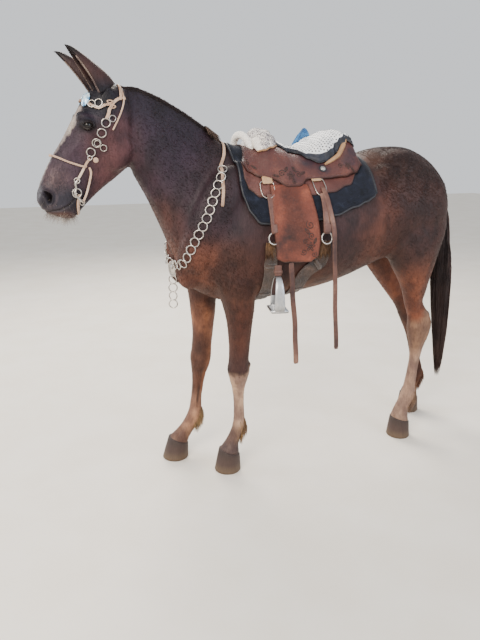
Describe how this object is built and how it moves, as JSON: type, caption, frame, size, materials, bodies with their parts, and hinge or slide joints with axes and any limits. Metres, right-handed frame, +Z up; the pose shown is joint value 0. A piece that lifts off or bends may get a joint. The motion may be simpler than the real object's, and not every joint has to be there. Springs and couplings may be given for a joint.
{
  "type": "mule",
  "caption": "Life-size standing mule in a ringed bridle, chain breast collar and stock saddle with pad, girths and stirrups.",
  "frame": {"origin": "floor point under the middle of the whole mule's box", "axes": "+Z up, the mule faces -X, its near (left) side is towards -Y"},
  "size_m": [2.1038, 0.7592, 1.8678],
  "materials": {
    "cloth_blue": "blue cloth",
    "coat_bay": "short glossy bay coat",
    "coat_dark": "short dark bay coat of the head",
    "cushion_white": "white pierced cushion cloth with a black border",
    "eye_wet": "wet dark brown eye",
    "fender_leather": "reddish brown tooled leather",
    "girth_cord": "tan cord girth",
    "hair_black": "coarse black tail hair, rusty at the ends",
    "hide_white": "white woolly hide",
    "hoof_horn": "grey-brown hoof horn, dusty",
    "pad_felt": "dark navy felt",
    "ring_steel": "polished steel rings",
    "saddle_leather": "waxed brown saddle leather",
    "stirrup_alloy": "brushed light alloy",
    "strap_leather": "undyed strap leather"
  },
  "bodies": {
    "root": {"head": "coat_dark", "neck": "coat_bay", "torso": "coat_bay", "leg_fore_near": "coat_bay", "shin_fore_near": "coat_bay", "hoof_fore_near": "hoof_horn", "leg_fore_far": "coat_bay", "shin_fore_far": "coat_bay", "hoof_fore_far": "hoof_horn", "leg_hind_near": "coat_bay", "shin_hind_near": "coat_bay", "hoof_hind_near": "hoof_horn", "leg_hind_far": "coat_bay", "shin_hind_far": "coat_bay", "hoof_hind_far": "hoof_horn", "ear_near": "coat_dark", "ear_far": "coat_dark", "eye_near": "eye_wet", "eye_far": "eye_wet", "tail": "hair_black", "headstall": "strap_leather", "browband": "strap_leather", "noseband": "strap_leather", "bit": "ring_steel", "cheek_chain_near": "ring_steel", "cheek_chain_far": "ring_steel", "breast_strap": "strap_leather", "breast_chain_near": "ring_steel", "breast_chain_far": "ring_steel", "breast_drop": "ring_steel", "saddle_pad": "pad_felt", "saddle_seat": "saddle_leather", "seat_cover": "cushion_white", "pommel_cover": "hide_white", "pommel_handle": "hide_white", "blue_cloth": "cloth_blue", "cinch_fore": "girth_cord", "cinch_hind": "girth_cord", "saddle_skirt_near": "saddle_leather", "fender_near": "fender_leather", "rigging_fore_near": "strap_leather", "rigging_hind_near": "strap_leather", "concho_near": "ring_steel", "latigo_fore_near": "saddle_leather", "latigo_hind_near": "saddle_leather", "stirrup_strap_near": "saddle_leather", "stirrup_near": "stirrup_alloy", "saddle_skirt_far": "saddle_leather", "fender_far": "fender_leather", "rigging_fore_far": "strap_leather", "rigging_hind_far": "strap_leather", "concho_far": "ring_steel", "latigo_fore_far": "saddle_leather", "latigo_hind_far": "saddle_leather", "stirrup_strap_far": "saddle_leather", "stirrup_far": "stirrup_alloy"}
  },
  "joints": []
}
